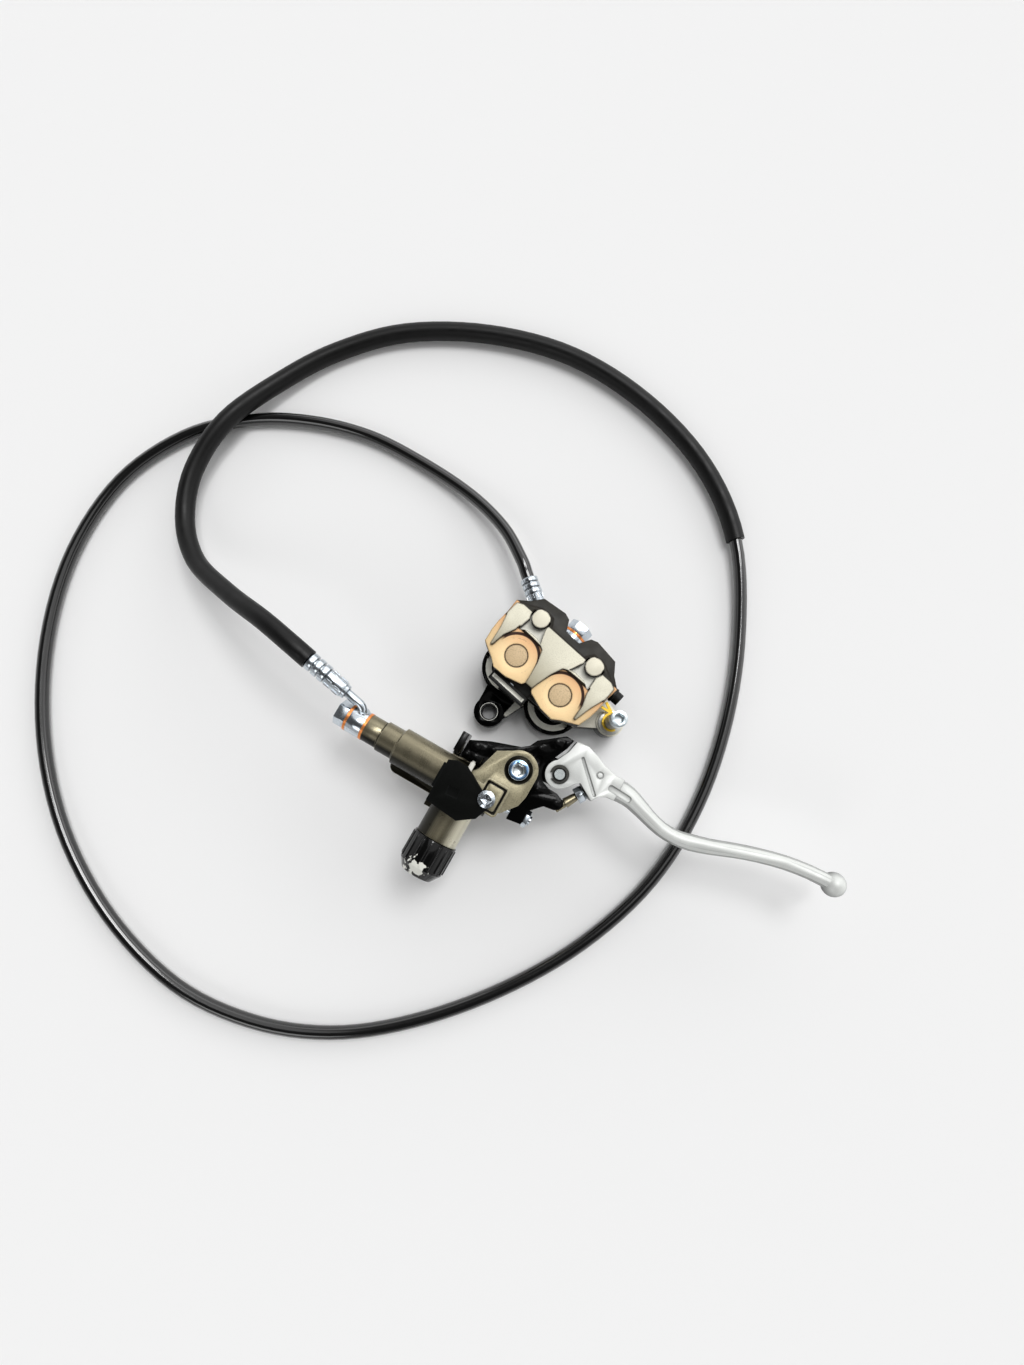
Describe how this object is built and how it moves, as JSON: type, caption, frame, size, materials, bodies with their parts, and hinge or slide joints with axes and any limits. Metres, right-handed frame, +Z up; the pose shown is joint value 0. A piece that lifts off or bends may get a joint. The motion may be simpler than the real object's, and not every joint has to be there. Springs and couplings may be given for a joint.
{
  "type": "hydraulic disc brake",
  "caption": "Hydraulic disc brake: hand lever master cylinder with reservoir and brake light switch, long hose with part sleeve, and a fixed caliper with opposed pistons and pads.",
  "frame": {"origin": "middle of the rigid pieces in plan, on the table that the brake lies on", "axes": "+Z is up from the table. +X is the picture's right, along which the rigid pieces are longest. +Y is the picture's top."},
  "size_m": [0.4367, 0.409, 0.0556],
  "materials": {
    "anodised_olive": "satin",
    "black_casting": "gloss",
    "speckled_casting": "matte",
    "cast_silver": "matte",
    "black_plastic": "gloss",
    "charcoal_plastic": "matte",
    "black_rubber": "matte",
    "hose_black": "gloss",
    "zinc_steel": "satin",
    "dark_steel": "satin",
    "turned_aluminium": "satin",
    "copper": "satin",
    "bronze": "satin",
    "yellow_wire": "gloss",
    "white_plastic": "matte",
    "friction": "matte"
  },
  "bodies": {
    "brake_set": {"master_body": "anodised_olive", "reservoir_diaphragm": "black_rubber", "piston_spring": "zinc_steel", "piston_circlip": "dark_steel", "dust_boot": "black_rubber", "switch_body": "charcoal_plastic", "switch_screw": "zinc_steel", "bar_clamp": "black_casting", "clamp_bolts": "dark_steel", "pivot_bolt": "zinc_steel", "pivot_nut": "zinc_steel", "master_banjo_bolt": "zinc_steel", "master_washers": "copper", "master_banjo": "zinc_steel", "master_ferrule": "zinc_steel", "brake_hose": "hose_black", "hose_sleeve": "hose_black", "caliper_ferrule": "zinc_steel", "caliper_banjo": "zinc_steel", "caliper_washers": "copper", "caliper_banjo_bolt": "zinc_steel", "caliper_outer": "speckled_casting", "caliper_inner": "black_casting", "body_bolts": "dark_steel", "crossover_seal": "black_rubber", "piston_seals": "black_rubber", "dust_seals": "black_rubber", "pad_pin": "zinc_steel", "pad_spring": "dark_steel", "mount_bolt": "dark_steel", "bolt_clip": "yellow_wire", "ear_bush": "dark_steel"},
    "lever": {"lever_carrier": "black_casting", "carrier_bush": "bronze", "push_screw": "zinc_steel", "push_screw_nut": "zinc_steel", "adjuster_rod": "anodised_olive", "lever_pin": "zinc_steel", "lever_pin_clip": "dark_steel"},
    "blade": {"lever_blade": "cast_silver"},
    "knob": {"adjuster_knob": "zinc_steel"},
    "piston_train": {"master_piston": "turned_aluminium", "primary_cup": "black_rubber", "secondary_seal": "black_rubber"},
    "plunger": {"switch_plunger": "white_plastic"},
    "fluid_cap": {"reservoir_cap": "black_plastic"},
    "outer_left_piston": {"piston_outer_left": "turned_aluminium"},
    "outer_right_piston": {"piston_outer_right": "turned_aluminium"},
    "inner_left_piston": {"piston_inner_left": "turned_aluminium"},
    "inner_right_piston": {"piston_inner_right": "turned_aluminium"},
    "outer_pad": {"pad_outer_plate": "dark_steel", "pad_outer_block": "friction"},
    "inner_pad": {"pad_inner_plate": "dark_steel", "pad_inner_block": "friction"},
    "nipple": {"bleed_nipple": "zinc_steel"},
    "nipple_cap": {"bleed_cap": "black_rubber"}
  },
  "joints": [
    {"name": "lever_pull", "type": "hinge", "parent": "brake_set", "child": "lever", "pos_m": [-0.0274, -0.02226, 0.037], "axis": [0, 0, -1], "range_deg": [0, 16], "stiffness_Nm_per_rad": 1, "springref_deg": -11.46},
    {"name": "master_piston_stroke", "type": "slide", "parent": "brake_set", "child": "piston_train", "axis": [-0.8686, 0.4955, 0], "range_m": [0, 0.0058], "deforming": ["piston_spring", "dust_boot"]},
    {"name": "switch_plunger_slide", "type": "slide", "parent": "brake_set", "child": "plunger", "axis": [0.4955, 0.8686, 0], "range_m": [0, 0.0016]},
    {"name": "lever_span", "type": "hinge", "parent": "lever", "child": "blade", "pos_m": [-0.00687, -0.02441, 0.037], "axis": [0, 0, 1], "range_deg": [-2, 3]},
    {"name": "adjuster_turn", "type": "hinge", "parent": "blade", "child": "knob", "pos_m": [0.00382, -0.03453, 0.037], "axis": [0.8634, 0.5045, 0], "range_deg": [-241, 361]},
    {"name": "reservoir_cap_off", "type": "slide", "parent": "brake_set", "child": "fluid_cap", "axis": [-0.4955, -0.8686, 0], "range_m": [0, 0.03]},
    {"name": "outer_left_travel", "type": "slide", "parent": "brake_set", "child": "outer_left_piston", "axis": [0, 0, -1], "range_m": [0, 0.0007]},
    {"name": "outer_right_travel", "type": "slide", "parent": "brake_set", "child": "outer_right_piston", "axis": [0, 0, -1], "range_m": [0, 0.0007]},
    {"name": "inner_left_travel", "type": "slide", "parent": "brake_set", "child": "inner_left_piston", "axis": [0, 0, 1], "range_m": [0, 0.0007]},
    {"name": "inner_right_travel", "type": "slide", "parent": "brake_set", "child": "inner_right_piston", "axis": [0, 0, 1], "range_m": [0, 0.0007]},
    {"name": "outer_pad_travel", "type": "slide", "parent": "brake_set", "child": "outer_pad", "axis": [0, 0, -1], "range_m": [0, 0.0007]},
    {"name": "inner_pad_travel", "type": "slide", "parent": "brake_set", "child": "inner_pad", "axis": [0, 0, 1], "range_m": [0, 0.0007]},
    {"name": "bleed_turn", "type": "hinge", "parent": "brake_set", "child": "nipple", "pos_m": [0.02257, 0.02056, 0.015], "axis": [0.7373, -0.6756, 0], "range_deg": [0, 180]},
    {"name": "bleed_cap_off", "type": "slide", "parent": "nipple", "child": "nipple_cap", "axis": [0.7373, -0.6756, 0], "range_m": [0, 0.012]}
  ],
  "couplings": [
    {"joint": "master_piston_stroke", "follows": "lever_pull", "m_per_rad": 0.0204},
    {"joint": "switch_plunger_slide", "follows": "lever_pull", "m_per_rad": 0.0054},
    {"joint": "adjuster_turn", "follows": "lever_span", "ratio": 120},
    {"joint": "outer_left_travel", "follows": "lever_pull", "m_per_rad": 0.0023},
    {"joint": "outer_right_travel", "follows": "lever_pull", "m_per_rad": 0.0023},
    {"joint": "inner_left_travel", "follows": "lever_pull", "m_per_rad": 0.0023},
    {"joint": "inner_right_travel", "follows": "lever_pull", "m_per_rad": 0.0023},
    {"joint": "outer_pad_travel", "follows": "lever_pull", "m_per_rad": 0.0023},
    {"joint": "inner_pad_travel", "follows": "lever_pull", "m_per_rad": 0.0023}
  ]
}
